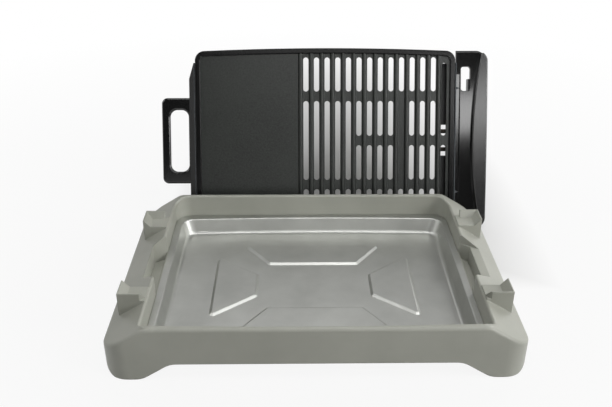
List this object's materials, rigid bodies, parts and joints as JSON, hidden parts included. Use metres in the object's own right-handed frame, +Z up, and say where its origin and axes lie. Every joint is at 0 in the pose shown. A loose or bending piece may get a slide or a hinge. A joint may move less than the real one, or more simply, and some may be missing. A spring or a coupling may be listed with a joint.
{
  "type": "electric table grill",
  "caption": "Electric table grill: moulded base with a lift-out drip pan, and a cast plate, half griddle and half slotted grate, stood up behind it on its lower edge.",
  "frame": {"origin": "on the table, under the middle of the whole arrangement's footprint", "axes": "+X to the right along the base's width, +Y from the front wall to the standing plate, +Z up"},
  "size_m": [0.5224, 0.4558, 0.2617],
  "materials": {
    "base_plastic": "warm light grey moulded plastic, fine texture",
    "pan_aluminium": "satin rolled sheet",
    "plate_coating": "dark non-stick coating on a casting",
    "handle_plastic": "black heat-resistant moulding, satin",
    "grip_plastic": "black moulding, half gloss",
    "bracket_enamel": "black enamelled sheet steel",
    "element_steel": "dull stainless steel",
    "pin_steel": "plated contact pins",
    "screw_steel": "zinc-plated steel",
    "insulator_ceramic": "unglazed steatite collars",
    "holder_board": null,
    "pad_rubber": "black rubber"
  },
  "bodies": {
    "base": {"base_shell": "base_plastic", "foot_screws": "screw_steel", "rubber_pad_front_left": "pad_rubber", "rubber_pad_front_right": "pad_rubber", "rubber_pad_rear_left": "pad_rubber", "rubber_pad_rear_right": "pad_rubber"},
    "drip_pan": {"drip_pan": "pan_aluminium"},
    "plate": {"bracket_screws": "screw_steel", "earth_contact": "element_steel", "element_strap_1": "element_steel", "element_strap_2": "element_steel", "element_strap_3": "element_steel", "element_strap_4": "element_steel", "feeler_tube": "element_steel", "grill_plate": "plate_coating", "heating_element": "element_steel", "holder_screws": "screw_steel", "insulator_lower": "insulator_ceramic", "insulator_upper": "insulator_ceramic", "left_bracket": "bracket_enamel", "left_handle": "handle_plastic", "left_handle_screws": "screw_steel", "right_bracket": "bracket_enamel", "right_grip": "grip_plastic", "right_handle": "handle_plastic", "right_handle_screws": "screw_steel", "socket_screws": "screw_steel", "socket_shroud": "handle_plastic", "strap_screws": "screw_steel", "terminal_holder": "holder_board", "terminal_pin_lower": "pin_steel", "terminal_pin_upper": "pin_steel"}
  },
  "joints": [
    {"name": "drip_pan_lift", "type": "slide", "parent": "base", "child": "drip_pan", "axis": [0, 0, 1], "range_m": [0, 0.1]},
    {"name": "plate_lift", "type": "slide", "parent": "base", "child": "plate", "axis": [0, 0, 1], "range_m": [0, 0.15]}
  ]
}
